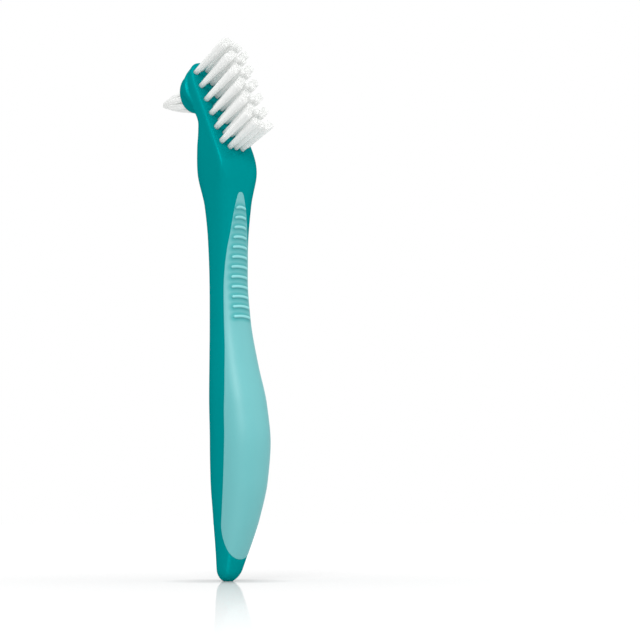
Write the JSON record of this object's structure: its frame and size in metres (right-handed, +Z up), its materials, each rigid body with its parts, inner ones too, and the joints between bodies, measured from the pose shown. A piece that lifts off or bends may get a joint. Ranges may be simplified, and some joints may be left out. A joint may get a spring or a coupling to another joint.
{
  "type": "pet toothbrush",
  "caption": "Pet toothbrush with a long curved handle, a soft ribbed thumb grip, a slanted head with a flat field of bristle tufts and a pointed tuft brush on its back.",
  "frame": {"origin": "centre of the small flat foot at the end of the handle, on which the brush can be stood", "axes": "+Z up the handle towards the head, -Y the side that the front bristles and the thumb grip face, +X across the brush"},
  "size_m": [0.0172, 0.0512, 0.1786],
  "materials": {
    "body_plastic": "glossy teal moulded polypropylene",
    "grip_rubber": "satin pale aqua thermoplastic elastomer",
    "bristle": "white nylon filament, trimmed flat",
    "anchor_metal": "bare drawn nickel silver strip"
  },
  "bodies": {
    "root": {"handle_body": "body_plastic", "front_grip": "grip_rubber", "front_tuft_1_1": "bristle", "front_tuft_1_2": "bristle", "front_tuft_1_3": "bristle", "front_tuft_1_4": "bristle", "front_tuft_1_5": "bristle", "front_tuft_1_6": "bristle", "front_tuft_2_1": "bristle", "front_tuft_2_2": "bristle", "front_tuft_2_3": "bristle", "front_tuft_2_4": "bristle", "front_tuft_2_5": "bristle", "front_tuft_2_6": "bristle", "front_tuft_2_7": "bristle", "front_tuft_3_1": "bristle", "front_tuft_3_2": "bristle", "front_tuft_3_3": "bristle", "front_tuft_3_4": "bristle", "front_tuft_3_5": "bristle", "front_tuft_3_6": "bristle", "front_tuft_3_7": "bristle", "front_tuft_4_1": "bristle", "front_tuft_4_2": "bristle", "front_tuft_4_3": "bristle", "front_tuft_4_4": "bristle", "front_tuft_4_5": "bristle", "front_tuft_4_6": "bristle", "front_tuft_4_7": "bristle", "front_tuft_5_1": "bristle", "front_tuft_5_2": "bristle", "front_tuft_5_3": "bristle", "front_tuft_5_4": "bristle", "front_tuft_5_5": "bristle", "front_tuft_5_6": "bristle", "rear_tuft_centre": "bristle", "rear_tuft_1": "bristle", "rear_tuft_2": "bristle", "rear_tuft_3": "bristle", "rear_tuft_4": "bristle", "rear_tuft_5": "bristle", "rear_tuft_6": "bristle", "rear_tuft_7": "bristle", "rear_tuft_8": "bristle"}
  },
  "joints": []
}
